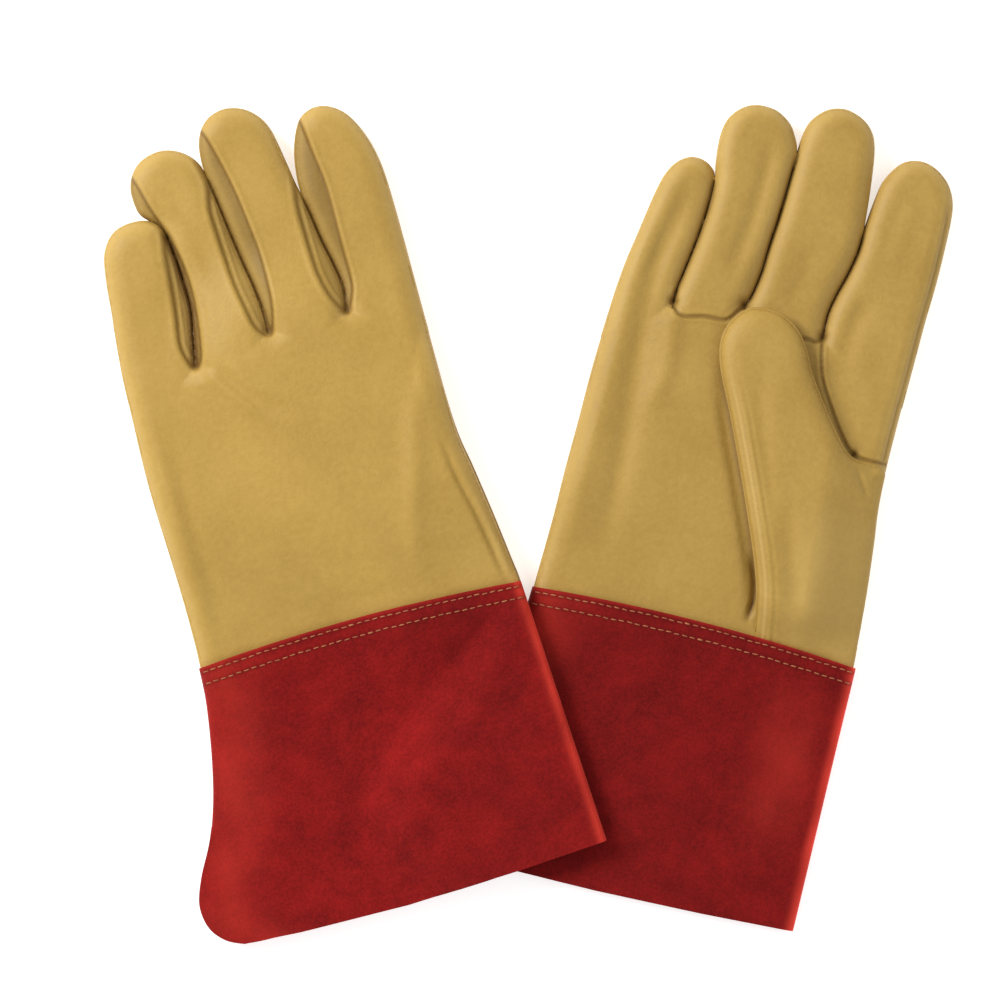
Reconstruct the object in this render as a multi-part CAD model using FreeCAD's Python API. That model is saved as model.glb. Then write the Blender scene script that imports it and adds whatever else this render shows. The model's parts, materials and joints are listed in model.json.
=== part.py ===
"""A pair of gauntlet welding gloves, lying flat: the left one back up, the right one palm up.

Each glove is cut and sewn from tanned leather: a back, a palm, a front for each finger, side
strips (fourchettes) between the fingers, a welted thumb folded over the palm, and a split-leather
gauntlet cuff with two rows of stitching. The left cuff lies on the right one.

Millimetres. X is to the right, Y towards the fingertips, Z up, and the pair stands on Z = 0.
"""
import FreeCAD, Part
import math
import os

V = FreeCAD.Vector

# ---- leather and clearances
GRAIN = 1.2            # thickness of the grain leather
SPLIT = 1.6            # thickness of the cuff's split leather
FOLD_GAP = 0.3         # between two leathers that move apart at a fold
LAY_GAP = 0.4          # between two pieces that only lie on each other
TALL = 200.0           # height and reach of the cutting tools, past every solid

# ---- hand, with its wrist line on local Y = 0
HAND_THICK = 17.0
WRIST_THICK = 10.0
WRIST_RISE = 50.0      # how far from the wrist the hand reaches its full thickness
WRIST_HALF = 66.5
KNUCKLE_Y = 75.0       # level of the thumb's crotch
ULNAR_X = -66.8        # little-finger side of the hand at that level
RADIAL_X = 59.6        # thumb side of the hand at that level
HAND_BEVEL = 5.0       # bevel of the hand's side edges
EDGE_R = 6.5           # roll of the fingers' edges
ROOT_X = 24.0          # the index front's root: its inner side
ROOT_Y = 82.0          # and its seam to the thumb

# ---- fingers: root x, root y, lean towards the thumb (degrees), length, root width, tip width
FINGER_THICK = 17.0
BAND = 0.3             # a front or back takes this share of the thickness, a fourchette what is left
FLEX_DEG = 85.0        # how far a finger folds towards the palm
FINGERS = {
    "left": {
        "little": (-52.5, 125.0, 1.4, 57.0, 26.0, 23.0),
        "ring": (-20.6, 136.5, -6.5, 71.0, 28.5, 29.0),
        "middle": (12.3, 136.5, -6.5, 81.0, 32.0, 30.5),
        "index": (44.8, 133.0, -4.0, 75.0, 30.5, 30.0),
    },
    "right": {
        "little": (-54.4, 125.0, 4.5, 60.0, 24.6, 22.0),
        "ring": (-25.8, 136.5, 2.5, 76.5, 27.5, 28.5),
        "middle": (7.3, 136.5, 1.5, 84.0, 31.5, 31.0),
        "index": (44.6, 133.0, 0.0, 75.0, 34.0, 31.0),
    },
}

# ---- thumb, folded over the palm, and the crease that it swings about
THUMB_THICK = {"left": 7.6, "right": 12.0}
THUMB_TIP = (-1.5, 116.5)
THUMB_TIP_R = 16.5
THUMB_LEAN = -30.0
THUMB_ROOT_LEN = 105.0
THUMB_ROOT_HALF = 31.8
THUMB_EDGE_R = 3.4
CREASE = ((27.0, 1.0), (47.5, 75.0))
SWING_DEG = 110.0
WELT = 1.0             # height of the welt in the thumb's seam
WELT_OUT = 0.8         # how far the welt stands out of it
HEEL_INSET = 3.0       # the heel's side from the edge of the hand
WINDOW_INSET = 3.0     # the thumb's way in, from the heel's sides

# ---- gauntlet cuff
CUFF_THICK = 9.0
CUFF_HALF = 68.5
CUFF_LEN = 113.5
CUFF_BAND = 10.5       # the stitched band that stays on the hand when the cuff folds
CUFF_FLARE = 4.0       # on the thumb side, over the cuff's length
SEAM_LEN = 64.0        # the side seam stops here and leaves a vent
SEAM_FLARE = 11.5
LOBE_R = 15.0          # rounded corner of the vent
LOBE_OUT = 25.0        # how far the corner stands out past the wrist
CUFF_EDGE_R = 2.8
CUFF_FOLD_DEG = 85.0
STITCH_ROWS = {"upper": 3.0, "lower": 7.4}   # distance from the cuff's top edge
STITCH_HALF_LEN = 62.0
THREAD_WIDE = 0.9
THREAD_DEEP = 0.5
THREAD_FIT = 0.05      # the thread from its groove's sides, and below the leather's face

# ---- how the pair lies: wrist centres and turns in the plan
WRIST_AT = {"left": (-69.6, -40.8), "right": (67.1, -41.8)}
TURN_DEG = {"left": 15.3, "right": -14.3}
LIFT = {"left": max(CUFF_THICK, THUMB_THICK["left"] + LAY_GAP) + LAY_GAP, "right": 0.0}
SIDES = ("left", "right")


def plate(edges, low, high):
    """A closed run of edges in the plan, raised from low to high."""
    face = Part.Face(Part.Wire(edges))
    face.translate(V(0, 0, low))
    return face.extrude(V(0, 0, high - low))


def polygon(points):
    """The straight edges round a list of plan points."""
    corners = [V(x, y, 0) for x, y in points]
    return [Part.LineSegment(a, b).toShape() for a, b in zip(corners, corners[1:] + corners[:1])]


def rims_of(solid, low, high, keep):
    """The edges round a plate's two flat faces where keep(middle point) is true."""
    rims = []
    for edge in solid.Edges:
        ends = [v.Point for v in edge.Vertexes]
        middle = edge.CenterOfMass
        level = all(abs(p.z - low) < 1e-6 for p in ends) or all(abs(p.z - high) < 1e-6 for p in ends)
        if level and keep(middle):
            rims.append(edge)
    return rims


def slab(low, high):
    """All the space between two heights."""
    return Part.makeBox(4 * TALL, 4 * TALL, high - low, V(-2 * TALL, -2 * TALL, low))


def half_plan(origin, turn_deg, side):
    """All the space on one side of a plan line through origin, turned from the X axis."""
    y = 0 if side > 0 else -2 * TALL
    box = Part.makeBox(4 * TALL, 2 * TALL, 2 * TALL, V(-2 * TALL, y, -TALL))
    box.Placement = FreeCAD.Placement(V(origin[0], origin[1], 0), FreeCAD.Rotation(V(0, 0, 1), turn_deg))
    return box


def only_solid(shape):
    """The one solid that a boolean leaves, with no seams inside a face."""
    solids = shape.removeSplitter().Solids
    return max(solids, key=lambda s: s.Volume)


# ---- tapered tubes, for the fingers and the thumb

def tube_edges(root_y, length, root_half, tip_r):
    """The plan of a finger: straight sides that run tangent into a round tip."""
    tip = V(0, length - tip_r, 0)
    corner = V(root_half, root_y, 0)
    to_tip = tip - corner
    turn = math.atan2(to_tip.y, to_tip.x) - math.asin(tip_r / to_tip.Length)
    run = math.sqrt(to_tip.Length ** 2 - tip_r ** 2)
    meet = corner + V(run * math.cos(turn), run * math.sin(turn), 0)
    left_corner, left_meet = V(-corner.x, corner.y, 0), V(-meet.x, meet.y, 0)
    return [
        Part.LineSegment(left_corner, corner).toShape(),
        Part.LineSegment(corner, meet).toShape(),
        Part.Arc(meet, V(0, length, 0), left_meet).toShape(),
        Part.LineSegment(left_meet, left_corner).toShape(),
    ]


def tube_solid(root_y, length, root_half, tip_r, low, high, roll):
    """A tube's outside, or its hollow, with rolled edges everywhere but at the root."""
    solid = plate(tube_edges(root_y, length, root_half, tip_r), low, high)
    return solid.makeFillet(roll, rims_of(solid, low, high, lambda p: p.y > root_y + 1e-3))


def tube_shell(length, root_half, tip_r, low, high, roll):
    """A leather tube, closed at the tip and open at the root."""
    roll = min(roll, (high - low) / 2 - 0.4)
    outer = tube_solid(FOLD_GAP, length, root_half, tip_r, low, high, roll)
    hollow = tube_solid(-1.0, length - GRAIN, root_half - GRAIN, tip_r - GRAIN,
                        low + GRAIN, high - GRAIN, max(roll - GRAIN, 0.3))
    return outer.cut(hollow)


# ---- fingers

def finger_frame(side, finger):
    """Where a finger's root line lies in the glove: its middle, turned by the finger's lean."""
    x, y, lean = FINGERS[side][finger][:3]
    return FreeCAD.Placement(V(x, y, 0), FreeCAD.Rotation(V(0, 0, 1), -lean))


def palm_face(side):
    """Height of the palm's outer face in the glove's frame: on top only if the palm is up."""
    return HAND_THICK if side == "right" else 0.0


def droop(side, finger):
    """Turn of a finger about its root line, so that a raised glove's fingertip reaches the table."""
    length = FINGERS[side][finger][3]
    return math.degrees(math.asin((LIFT[side] - LAY_GAP) / length)) if LIFT[side] else 0.0


def finger_placement(side, finger):
    """A finger's place in the glove: its front flush with the palm, drooping about the fold there."""
    fold = FreeCAD.Placement(V(0, 0, palm_face(side)), FreeCAD.Rotation())
    turn = FreeCAD.Placement(V(), FreeCAD.Rotation(V(1, 0, 0), -droop(side, finger)))
    front = V(0, 0, FINGER_THICK if side == "right" else 0.0)
    return finger_frame(side, finger) * fold * turn * FreeCAD.Placement(-front, FreeCAD.Rotation())


def finger_nodes(side, finger):
    """A finger's back, front and fourchettes. An outer finger's back wraps round its free side."""
    length, root_wide, tip_wide = FINGERS[side][finger][3:]
    shell = tube_shell(length, root_wide / 2, tip_wide / 2, 0, FINGER_THICK, EDGE_R)
    cut_low, cut_high = BAND * FINGER_THICK, (1 - BAND) * FINGER_THICK
    lower = shell.common(slab(-TALL, cut_low))
    upper = shell.common(slab(cut_high, TALL))
    band = shell.common(slab(cut_low, cut_high))
    strips = {
        "ulnar": band.common(half_plan((0, 0), 90, 1)),
        "radial": band.common(half_plan((0, 0), 90, -1)),
    }
    front, back = (upper, lower) if side == "right" else (lower, upper)
    free_side = {"index": "radial", "little": "ulnar"}.get(finger)
    if free_side:
        back = back.fuse(strips.pop(free_side))
    nodes = {f"{finger}_back": back, f"{finger}_front": front}
    for facing, strip in strips.items():
        name = f"{finger}_fourchette" if free_side else f"{finger}_fourchette_{facing}"
        nodes[name] = strip
    place = finger_placement(side, finger)
    for name, shape in nodes.items():
        shape = only_solid(shape)
        shape.Placement = place
        nodes[name] = shape
    return nodes


# ---- hand

def root_ends(side, finger, inset=0.0):
    """The two ends of a finger's root line in the plan, drawn in where they are on a free side."""
    half = FINGERS[side][finger][4] / 2
    frame = finger_frame(side, finger)
    left = -half + (inset if finger == "little" else 0)
    right = half - (inset if finger == "index" else 0)
    return [frame.multVec(V(x, 0, 0)) for x in (left, right)]


def hand_plan(side, inset, wrist_y, reach):
    """Corners of the hand: wrist, thumb side, finger roots pushed on by reach, little-finger side."""
    points = [(-WRIST_HALF + inset, wrist_y), (WRIST_HALF - inset, wrist_y), (RADIAL_X - inset, KNUCKLE_Y)]
    for finger in ("index", "middle", "ring", "little"):
        left, right = root_ends(side, finger, inset)
        points += [(right.x, right.y + reach), (left.x, left.y + reach)]
    return points + [(ULNAR_X + inset, KNUCKLE_Y)]


def wrist_wedge(shave, reach):
    """The space under the hand's upper face, which thins towards the wrist."""
    profile = [(-reach, -TALL), (TALL, -TALL), (TALL, HAND_THICK - shave),
               (WRIST_RISE, HAND_THICK - shave), (-reach, WRIST_THICK - shave)]
    corners = [V(-TALL, y, z) for y, z in profile]
    edges = [Part.LineSegment(a, b).toShape() for a, b in zip(corners, corners[1:] + corners[:1])]
    return Part.Face(Part.Wire(edges)).extrude(V(2 * TALL, 0, 0))


def hand_solid(side, inset=0.0, wrist_y=0.0, reach=0.0):
    """The hand's outside, or its hollow with inset > 0, with walls as thick on the side bevels."""
    bevel = HAND_BEVEL - inset * (2 - math.sqrt(2))
    low, high = inset, HAND_THICK - inset
    rings = []
    for level, narrow in ((low, bevel), (low + bevel, 0.0), (high - bevel, 0.0), (high, bevel)):
        ring = Part.Wire(polygon(hand_plan(side, inset + narrow, wrist_y, reach)))
        ring.translate(V(0, 0, level))
        rings.append(ring)
    return Part.makeLoft(rings, True, True).common(wrist_wedge(inset, -wrist_y))


def heel_plan(inset):
    """The heel of the thumb in plan: between the crease and the hand's thumb side."""
    (x1, y1), (x2, y2) = CREASE
    return [(x1 + inset, y1 + inset), (WRIST_HALF - HEEL_INSET - inset, y1 + inset),
            (RADIAL_X - HEEL_INSET - inset, y2 - inset), (x2 + inset / 2, y2 - inset)]


def hand_nodes(side):
    """The hand's back and palm, with the root of the index front as a leather of its own."""
    shell = hand_solid(side).cut(hand_solid(side, GRAIN, -1.0, 3.0))
    middle = WRIST_THICK / 2
    lower = shell.common(slab(-TALL, middle))
    upper = shell.common(slab(middle, TALL))
    palm, back = (upper, lower) if side == "right" else (lower, upper)
    window = plate(polygon(heel_plan(WINDOW_INSET)), -TALL / 2, TALL / 2)
    near_palm = slab(middle, TALL) if side == "right" else slab(-TALL, middle)
    palm = palm.cut(window.common(near_palm))
    root = half_plan((ROOT_X, 0), 90, -1).common(half_plan((0, ROOT_Y), 0, 1))
    return {
        "back_panel": only_solid(back),
        "palm_panel": only_solid(palm.cut(root)),
        "index_front_root": only_solid(palm.common(root)),
    }


# ---- thumb

def crease_turn():
    """Turn of the thumb's crease from the Y axis, in degrees, and its plan direction."""
    (x1, y1), (x2, y2) = CREASE
    run = V(x2 - x1, y2 - y1, 0)
    run.normalize()
    return math.degrees(math.atan2(-run.x, run.y)), run


def thumb_levels(side):
    """Lowest and highest level of the folded thumb in the glove's frame."""
    if side == "right":
        low = HAND_THICK + LAY_GAP
        return low, low + THUMB_THICK[side]
    return -LAY_GAP - THUMB_THICK[side], -LAY_GAP


def thumb_nodes(side):
    """The thumb's outer and inner leathers, the welt between them, and the heel that stays put."""
    low, high = thumb_levels(side)
    lean = math.radians(THUMB_LEAN)
    root = V(THUMB_TIP[0] - THUMB_ROOT_LEN * math.sin(lean), THUMB_TIP[1] - THUMB_ROOT_LEN * math.cos(lean), 0)
    place = FreeCAD.Placement(root, FreeCAD.Rotation(V(0, 0, 1), -THUMB_LEAN))
    length = THUMB_ROOT_LEN + THUMB_TIP_R
    shell = tube_shell(length, THUMB_ROOT_HALF, THUMB_TIP_R, low, high, THUMB_EDGE_R)
    middle = (low + high) / 2
    wide = plate(tube_edges(FOLD_GAP, length + WELT_OUT, THUMB_ROOT_HALF + WELT_OUT, THUMB_TIP_R + WELT_OUT),
                 middle - WELT / 2, middle + WELT / 2)
    bore = plate(tube_edges(-1.0, length - GRAIN, THUMB_ROOT_HALF - GRAIN, THUMB_TIP_R - GRAIN),
                 middle - WELT, middle + WELT)
    lower = shell.common(slab(-TALL, middle - WELT / 2))
    upper = shell.common(slab(middle + WELT / 2, TALL))
    parts = {"thumb_inner": lower, "thumb_outer": upper} if side == "right" else \
        {"thumb_inner": upper, "thumb_outer": lower}
    parts["thumb_welt"] = wide.cut(bore)
    turn, run = crease_turn()
    across = V(-run.y, run.x, 0)
    edge = V(CREASE[0][0], CREASE[0][1], 0) + across * FOLD_GAP
    thumb_side = half_plan((edge.x, edge.y), turn + 90, 1)
    above_wrist = half_plan((0, FOLD_GAP), 0, 1)
    nodes = {}
    for name, shape in parts.items():
        shape.Placement = place
        nodes[name] = only_solid(shape.common(thumb_side).common(above_wrist))
    nodes["thumb_heel"] = heel_solid(side)
    return nodes


def heel_solid(side):
    """The thumb's heel: a roof and two walls on the palm, open towards the thumb."""
    low, high = thumb_levels(side)
    seat = WRIST_THICK / 2
    if side == "right":
        outside, inside = (seat, high), (seat - 1, high - GRAIN)
    else:
        outside, inside = (low, seat), (low + GRAIN, seat + 1)
    plan = heel_plan(GRAIN)
    (x1, _), (x2, _) = CREASE
    plan[0], plan[3] = (x1 - TALL, plan[0][1]), (x2 - TALL, plan[3][1])
    heel = plate(polygon(heel_plan(0.0)), *outside).cut(plate(polygon(plan), *inside))
    return only_solid(heel.cut(hand_solid(side)))


# ---- cuff

def cuff_edges():
    """Plan of the gauntlet: a flaring band whose little-finger corner is round."""
    mouth = -CUFF_LEN
    seam_end = V(-CUFF_HALF - SEAM_FLARE, -SEAM_LEN, 0)
    lobe = V(-CUFF_HALF - LOBE_OUT + LOBE_R, mouth + LOBE_R, 0)
    side = lobe + V(-LOBE_R, 0, 0)
    foot = lobe + V(0, -LOBE_R, 0)
    half_turn = LOBE_R * math.sqrt(0.5)
    flare = Part.BezierCurve()
    flare.setPoles([seam_end, seam_end + V(-2.5, -12, 0), side + V(0, 12, 0), side])
    top_left, top_right = V(-CUFF_HALF, 0, 0), V(CUFF_HALF, 0, 0)
    corner = V(CUFF_HALF + CUFF_FLARE, mouth, 0)
    return [
        Part.LineSegment(top_right, top_left).toShape(),
        Part.LineSegment(top_left, seam_end).toShape(),
        flare.toShape(),
        Part.Arc(side, lobe + V(-half_turn, -half_turn, 0), foot).toShape(),
        Part.LineSegment(foot, corner).toShape(),
        Part.LineSegment(corner, top_right).toShape(),
    ]


def cuff_solid():
    """One leather folded along the thumb side and sewn along the other, down to the vent."""
    solid = plate(cuff_edges(), 0, CUFF_THICK)
    vent = -SEAM_LEN

    def on_a_side(p):
        return p.x > CUFF_HALF or (p.x < -CUFF_HALF and p.y > vent)

    solid = solid.makeFillet(CUFF_EDGE_R, rims_of(solid, 0, CUFF_THICK, on_a_side))
    far = -CUFF_LEN - SEAM_LEN
    flare = CUFF_FLARE / CUFF_LEN
    hollow = [(CUFF_HALF - SPLIT, 1), (-CUFF_HALF + SPLIT, 1), (-CUFF_HALF - SEAM_FLARE + SPLIT, vent),
              (-TALL, vent), (-TALL, far), (CUFF_HALF - flare * far - SPLIT, far)]
    return solid.cut(plate(polygon(hollow), SPLIT, CUFF_THICK - SPLIT))


def row_bars(y, wide, low, high):
    """A stitch row on both faces of the cuff, as two bars from low to high under the face."""
    size = (2 * STITCH_HALF_LEN, wide, high - low)
    x, y = -STITCH_HALF_LEN, -y - wide / 2
    return [Part.makeBox(*size, V(x, y, low)), Part.makeBox(*size, V(x, y, CUFF_THICK - high))]


def cuff_nodes():
    """The cuff, its band on the hand, and the band's two rows of thread in shallow grooves."""
    whole = cuff_solid()
    band = whole.common(half_plan((0, -CUFF_BAND), 0, 1))
    nodes = {"cuff": only_solid(whole.common(half_plan((0, -CUFF_BAND - FOLD_GAP), 0, -1)))}
    for row, y in STITCH_ROWS.items():
        for groove in row_bars(y, THREAD_WIDE + 2 * THREAD_FIT, -THREAD_DEEP, THREAD_DEEP):
            band = band.cut(groove)
        nodes[f"cuff_stitches_{row}"] = Part.Compound(row_bars(y, THREAD_WIDE, THREAD_FIT, THREAD_DEEP))
    nodes["cuff_band"] = only_solid(band)
    return nodes


# ---- the pair

def glove_frame(side):
    """Where a glove lies: wrist centre, turn and lift."""
    x, y = WRIST_AT[side]
    return FreeCAD.Placement(V(x, y, LIFT[side]), FreeCAD.Rotation(V(0, 0, 1), TURN_DEG[side]))


def glove_nodes(side):
    """All the pieces of one glove in the glove's own frame."""
    nodes = {**hand_nodes(side), **thumb_nodes(side), **cuff_nodes()}
    for finger in FINGERS[side]:
        nodes.update(finger_nodes(side, finger))
    return nodes


def build():
    """Every piece of the pair, and the shift that puts the origin under the middle of its box."""
    pieces = {}
    for side in SIDES:
        frame = glove_frame(side)
        for name, shape in glove_nodes(side).items():
            shape.Placement = frame * shape.Placement
            pieces[f"{side}_{name}"] = shape
    box = Part.Compound(list(pieces.values())).optimalBoundingBox()
    shift = V(-box.Center.x, -box.Center.y, -box.ZMin)
    for shape in pieces.values():
        shape.Placement = FreeCAD.Placement(shift, FreeCAD.Rotation()) * shape.Placement
    return pieces, shift


def main():
    os.makedirs("parts", exist_ok=True)
    pieces, _ = build()
    for name, shape in pieces.items():
        shape.exportStep(f"parts/{name}.step")
        print(f"{name:38s} {len(shape.Solids)} solids, {shape.Volume / 1000:8.2f} cm3, valid {shape.isValid()}")


if __name__ == "__main__":
    main()
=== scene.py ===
"""The looks of a pair of welding gloves: grain leather hands, split leather cuffs, sewn edges.

Each hand is one skin, worked out as the surface of a field on a grid in the glove's own plan,
then cut along its seams into its leathers. Lengths are millimetres until a mesh is made.
"""
import json
import math

import bpy
import numpy as np
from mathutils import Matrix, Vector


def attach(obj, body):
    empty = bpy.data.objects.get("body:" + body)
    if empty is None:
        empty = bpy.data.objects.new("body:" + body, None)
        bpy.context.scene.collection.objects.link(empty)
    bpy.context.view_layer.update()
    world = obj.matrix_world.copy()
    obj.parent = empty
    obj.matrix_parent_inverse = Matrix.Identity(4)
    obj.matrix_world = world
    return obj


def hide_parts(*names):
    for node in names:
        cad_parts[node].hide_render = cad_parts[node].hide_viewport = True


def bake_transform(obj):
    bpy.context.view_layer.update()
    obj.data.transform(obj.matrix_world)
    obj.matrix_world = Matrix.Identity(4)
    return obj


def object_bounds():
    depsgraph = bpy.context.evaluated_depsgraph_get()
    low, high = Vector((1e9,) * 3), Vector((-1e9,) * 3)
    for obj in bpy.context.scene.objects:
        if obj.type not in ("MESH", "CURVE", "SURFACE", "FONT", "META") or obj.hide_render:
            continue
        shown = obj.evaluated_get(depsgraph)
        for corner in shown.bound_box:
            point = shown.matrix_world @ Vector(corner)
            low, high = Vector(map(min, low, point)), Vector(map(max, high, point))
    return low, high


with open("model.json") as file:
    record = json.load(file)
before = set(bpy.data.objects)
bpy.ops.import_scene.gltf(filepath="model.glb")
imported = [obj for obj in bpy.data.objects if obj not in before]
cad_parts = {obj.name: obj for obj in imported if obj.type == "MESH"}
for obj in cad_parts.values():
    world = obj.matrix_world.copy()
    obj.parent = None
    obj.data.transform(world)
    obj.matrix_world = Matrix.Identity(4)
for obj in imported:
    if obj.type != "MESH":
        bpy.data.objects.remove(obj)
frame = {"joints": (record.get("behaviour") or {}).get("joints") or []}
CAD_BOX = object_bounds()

import openvdb as vdb
from mathutils import Vector

MM = 0.001
STEP = 0.65                # grid of the hands' skins
GRAIN = 1.2                # leather of the hands
SPLIT = 1.6                # leather of the cuffs
TABLE_GAP = 0.8            # from the table to the pair's underside

SIDES = ("left", "right")
FINGER_NAMES = ("little", "ring", "middle", "index")
JOINTS = {joint["name"]: joint for joint in frame["joints"]}

# ---- hand: its sides in plan, from the wrist to the fingers
CUFF_BAND = 10.5           # depth of the sewn band, above the cuff's fold
HAND_UNDER_CUFF = -9.5
HAND_SIDES = {
    "left": {"thumb": [(68, -16), (67.9, 0), (66.8, 10), (64.4, 30), (61.6, 50), (59.8, 62), (59.2, 75),
                       (59.1, 100), (59.1, 122)],
             "little": [(-66.6, 122), (-67.3, 105), (-68, 85), (-68, 68), (-67.4, 50), (-66.9, 30),
                        (-67, 10), (-67.4, 0), (-67.4, -16)]},
    "right": {"thumb": [(67, -16), (67, 0), (66.3, 10), (64.7, 30), (62.5, 50), (60.9, 65), (60.4, 85),
                        (60.4, 105), (60.6, 122)],
              "little": [(-65.3, 120), (-66, 105), (-66.5, 90), (-66.6, 70), (-66.9, 50), (-66.8, 30),
                         (-67.2, 10), (-67.4, 0), (-67.4, -16)]},
}
WRIST_THICK = 9.4
HAND_THICK = 15.5
FINGER_THICK = 14.6
TIP_THICK = 13.0
ROLL = {"left": 9.5, "right": 8.5}

# ---- lines where two fingers lie side by side, from their crotch outwards
SLOTS = {
    "left": [
        [(-36.1, 119.7), (-33.9, 132.2), (-32.2, 142.6), (-32.3, 154.9), (-33.2, 168.4), (-34.9, 177.5)],
        [(-3.5, 125), (-3.7, 134.8), (-4.8, 145.1), (-6.6, 155.7), (-8.4, 168.6), (-10.1, 182.2),
         (-11.9, 194)],
        [(29.2, 125), (30.3, 134.8), (29.1, 144.4), (26.8, 155.8), (25.2, 167.1), (23.8, 175)],
    ],
    "right": [
        [(-40.9, 126.5), (-40.7, 132.5), (-39.2, 143.1), (-37.6, 154.6), (-36.5, 168.4), (-36.9, 180)],
        [(-12.3, 132.2), (-10.5, 136.9), (-9, 147.4), (-8.6, 159.4), (-7.7, 172.3), (-7.2, 186.8),
         (-6.9, 198)],
        [(21.7, 127.5), (21.6, 137.4), (22.9, 145.4), (25.4, 155.3), (27.1, 165.1), (27.4, 173.5)],
    ],
}
# ---- the rest of each finger's plan, round its tip towards the thumb
TIPS = {
    "left": {
        "little": [(-67, 112), (-66.4, 125), (-65, 140), (-63.8, 150), (-62.9, 160), (-61.4, 170),
                   (-59.6, 175), (-56.6, 179.2), (-52.4, 182), (-46, 183), (-39.5, 181.8)],
        "ring": [(-39.6, 182.2), (-42.4, 185.8), (-43.3, 191), (-43.2, 196), (-41.6, 200.6), (-38, 205),
                 (-33, 207.5), (-27, 208.2), (-21.5, 206.7), (-17, 203.7), (-13.9, 199.8)],
        "middle": [(-12.1, 201), (-11.2, 207), (-9, 212), (-5, 215.9), (0, 217.7), (5, 217.6), (10.5, 215.5),
                   (15, 211.5), (18, 206.3), (19.6, 200), (21.2, 190), (22.5, 181)],
        "index": [(23.8, 183), (25.1, 192), (27.5, 199.5), (30.6, 205.2), (34.5, 208), (39, 208.9),
                  (44, 207.7), (48.8, 204.3), (52.3, 199.5), (55.4, 192.5), (57.6, 184.5), (58.8, 175),
                  (59.2, 160), (59.2, 140), (59.1, 122), (59.1, 108)],
    },
    "right": {
        "little": [(-66, 106), (-65.3, 120), (-64.6, 130), (-63.5, 140), (-61.9, 150), (-60.4, 160),
                   (-58.9, 169), (-57, 176.5), (-53.8, 182.3), (-49, 185.9), (-44, 186.3), (-39.6, 184.3)],
        "ring": [(-38.2, 187), (-38.9, 194), (-38.8, 200), (-37.5, 205), (-34.2, 209.5), (-30, 212.4),
                 (-25, 213.5), (-19, 212.9), (-13.5, 209.8), (-10, 205.5)],
        "middle": [(-6.4, 205.5), (-5.2, 211), (-2.5, 215.3), (2, 219), (8, 220.5), (14, 219.2),
                   (18.5, 216.5), (21.8, 212.3), (23.6, 207), (24.8, 200), (26, 190), (26.8, 181)],
        "index": [(28, 181), (28.9, 189), (30, 195), (32.4, 200.2), (35.8, 204.7), (40, 207), (45, 207.5),
                  (50, 206), (54.5, 202.9), (57.6, 199.2), (60, 193.8), (61, 187), (61.4, 175), (61.5, 160),
                  (61, 145), (60.8, 130), (60.5, 108)],
    },
}
LITTLE_BACK = (-60, 100)   # where the outlines of the outer fingers end inside the hand
INDEX_BACK = (50, 98)
BACK_REACH = 25            # how far below its crotches a finger's outline reaches
# tops of the hand's own plan, between the crotches
ROOT_PEAKS = {"left": [(45, 130.5), (12.3, 134), (-20.6, 134), (-52.5, 123.5)],
              "right": [(44.6, 130.5), (7.3, 134.5), (-25.8, 134.5), (-54.4, 123.5)]}
# how far each finger's face stands above the hand's at its tip
FINGER_RISE = {"left": {"little": 1.3, "ring": -0.4, "middle": 0.4, "index": 0.0},
               "right": {"little": -0.3, "ring": 2.2, "middle": 0.9, "index": 0.0}}
BAND = 0.2                 # share of the thickness that the side strips take, each way from the middle
FINGER_BEND = 15           # length of the leather that bends at a finger's root
SIDE_OVERLAP = 0.15        # how far two pressed fingers' outlines run into each other
LOWEST = 0.3               # nothing comes closer to the table
PLAN_LOW, PLAN_HIGH = (-96, -18), (82, 228)
KNUCKLES_HIGH = 142        # the hand's own skin is worked out up to here
ROOT_SEAM = ([82.6, 104, 126], [40, 28, 22])   # inner side of the index front's root: y, x

# ---- leaf-shaped openings of the backs, where the strips between the fingers show
LEAVES = {
    "left": [
        [(-34.9, 177), (-36.4, 168), (-37.7, 153.4), (-39, 141.3), (-40.6, 129.5), (-39.2, 121.8),
         (-36.4, 118.2), (-33.6, 120), (-31.8, 125.5), (-29.8, 140.3), (-29.4, 154.1), (-30.8, 166.2),
         (-34.4, 179), (-36.5, 185.5), (-40.3, 198.9), (-43.4, 205), (-46, 196), (-44.5, 187),
         (-40.5, 182.8)],
        [(-12.6, 191), (-14.4, 180), (-14.2, 170), (-13.7, 160.7), (-12.7, 147.3), (-10.9, 136.8),
         (-9.3, 128.8), (-6.6, 124.4), (-3.4, 122.8), (-1.5, 125.2), (0.7, 133.6), (1.5, 142.7),
         (1.4, 156.6), (0, 170.9), (-2.1, 186.2), (-5.5, 201.8), (-8.5, 211.5), (-12, 216), (-15, 204)],
        [(22.2, 183), (20.6, 173), (20.4, 163.8), (20.6, 152.9), (21.1, 143.5), (22.7, 135.3), (24.9, 129.3),
         (27.7, 125), (29.4, 123.2), (31, 125.3), (33.9, 132.2), (34.7, 138.2), (34.7, 149.1), (34.8, 162.2),
         (34.7, 176.9), (33.1, 190.5), (31.4, 204.8), (29, 210), (25, 200), (22.8, 190)],
    ],
    "right": [
        [(-38.5, 180), (-42, 165), (-44.5, 150), (-45, 136), (-43.5, 127), (-40.9, 124.5), (-37.5, 128),
         (-34.5, 142), (-31, 156), (-31, 170), (-34.5, 186), (-38, 200), (-41, 190)],
        [(-8, 200), (-12.5, 184), (-14, 166), (-15, 148), (-15, 137), (-12.3, 130.2), (-8, 135), (-4, 148),
         (-1.5, 165), (-2, 186), (-5, 204), (-8, 212)],
        [(27, 176), (23, 162), (19.5, 148), (17.5, 136), (19, 128), (21.7, 125.5), (25, 129), (28.5, 144),
         (32, 160), (34, 178), (32.5, 196), (30, 204), (27.5, 190)],
    ],
}

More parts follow.
